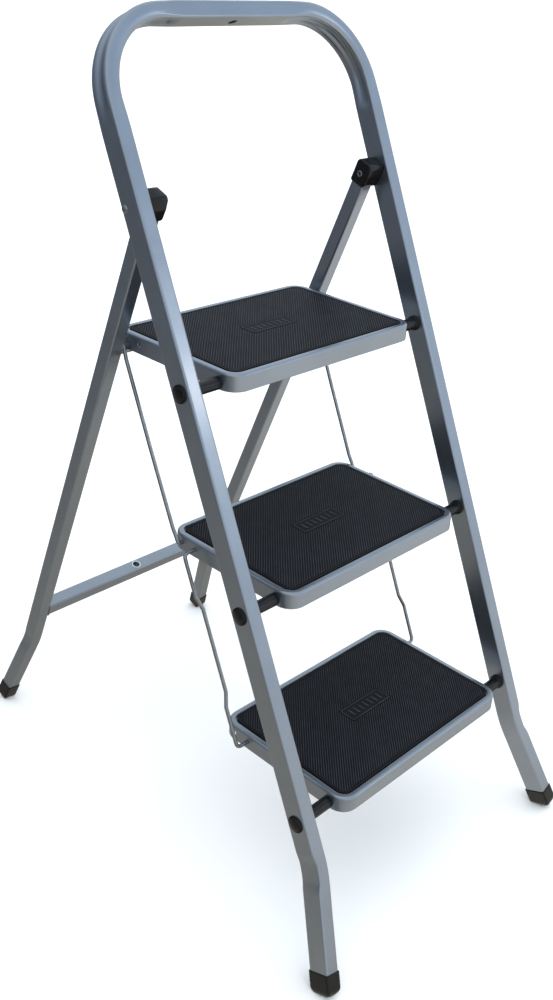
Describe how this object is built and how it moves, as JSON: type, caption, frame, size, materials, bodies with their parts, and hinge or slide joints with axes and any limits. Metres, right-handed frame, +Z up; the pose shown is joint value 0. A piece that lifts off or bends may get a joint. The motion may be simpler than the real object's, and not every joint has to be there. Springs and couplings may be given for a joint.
{
  "type": "step ladder",
  "caption": "Folding steel household step ladder with mat-covered treads, a bent handrail frame, a pivoting rear frame and wire links that fold the treads together.",
  "frame": {"origin": "on the floor, in the middle of the open ladder's box", "axes": "+X to the right of a person facing the treads, +Y from the front frame to the rear frame, +Z up; the front faces -Y"},
  "size_m": [0.5002, 0.7509, 1.0464],
  "materials": {
    "painted_steel": "silver-grey metallic paint, semi-gloss",
    "black_plastic": "moulded, semi-gloss",
    "mat_rubber": "fine ribs, matt",
    "zinc_wire": "bright zinc plate"
  },
  "bodies": {
    "front_frame": {"front_frame": "painted_steel", "front_foot_left": "black_plastic", "front_foot_right": "black_plastic", "pivot_rivets": "zinc_wire", "bottom_axle": "zinc_wire", "middle_axle": "zinc_wire", "top_axle": "zinc_wire", "bottom_sleeve_left": "black_plastic", "bottom_sleeve_right": "black_plastic", "bottom_plug_left": "black_plastic", "bottom_plug_right": "black_plastic", "middle_sleeve_left": "black_plastic", "middle_sleeve_right": "black_plastic", "middle_plug_left": "black_plastic", "middle_plug_right": "black_plastic", "top_sleeve_left": "black_plastic", "top_sleeve_right": "black_plastic", "top_plug_left": "black_plastic", "top_plug_right": "black_plastic"},
    "rear_frame": {"rear_leg_left": "painted_steel", "rear_leg_right": "painted_steel", "rear_crossbar": "painted_steel", "cross_rod": "zinc_wire", "rear_foot_left": "black_plastic", "rear_foot_right": "black_plastic", "pivot_cap_left": "black_plastic", "pivot_cap_right": "black_plastic"},
    "top_step": {"top_tread": "painted_steel", "top_mat": "mat_rubber", "latch_hooks": "zinc_wire"},
    "middle_step": {"middle_tread": "painted_steel", "middle_mat": "mat_rubber"},
    "bottom_step": {"bottom_tread": "painted_steel", "bottom_mat": "mat_rubber"},
    "upper_links": {"upper_link_left": "zinc_wire", "upper_link_right": "zinc_wire"},
    "lower_links": {"lower_link_left": "zinc_wire", "lower_link_right": "zinc_wire"}
  },
  "joints": [
    {"name": "top_step_fold", "type": "hinge", "parent": "front_frame", "child": "top_step", "pos_m": [0, -0.05325, 0.6629], "axis": [1, 0, 0], "range_deg": [0, 58]},
    {"name": "middle_step_fold", "type": "hinge", "parent": "front_frame", "child": "middle_step", "pos_m": [0, -0.16354, 0.42745], "axis": [1, 0, 0], "range_deg": [0, 58]},
    {"name": "bottom_step_fold", "type": "hinge", "parent": "front_frame", "child": "bottom_step", "pos_m": [0, -0.27383, 0.192], "axis": [1, 0, 0], "range_deg": [0, 58]},
    {"name": "rear_frame_fold", "type": "hinge", "parent": "front_frame", "child": "rear_frame", "pos_m": [0, 0.04207, 0.84517], "axis": [-1, 0, 0], "range_deg": [0, 37.5]},
    {"name": "upper_link_swing", "type": "hinge", "parent": "top_step", "child": "upper_links", "pos_m": [0, 0.10975, 0.6669], "axis": [1, 0, 0], "range_deg": [-58, 0]},
    {"name": "lower_link_swing", "type": "hinge", "parent": "middle_step", "child": "lower_links", "pos_m": [0, -0.02454, 0.43145], "axis": [1, 0, 0], "range_deg": [-58, 0]}
  ],
  "couplings": [
    {"joint": "middle_step_fold", "follows": "top_step_fold", "ratio": 1},
    {"joint": "bottom_step_fold", "follows": "top_step_fold", "ratio": 1},
    {"joint": "rear_frame_fold", "follows": "top_step_fold", "ratio": 0.646},
    {"joint": "upper_link_swing", "follows": "top_step_fold", "ratio": -1},
    {"joint": "lower_link_swing", "follows": "top_step_fold", "ratio": -1}
  ]
}
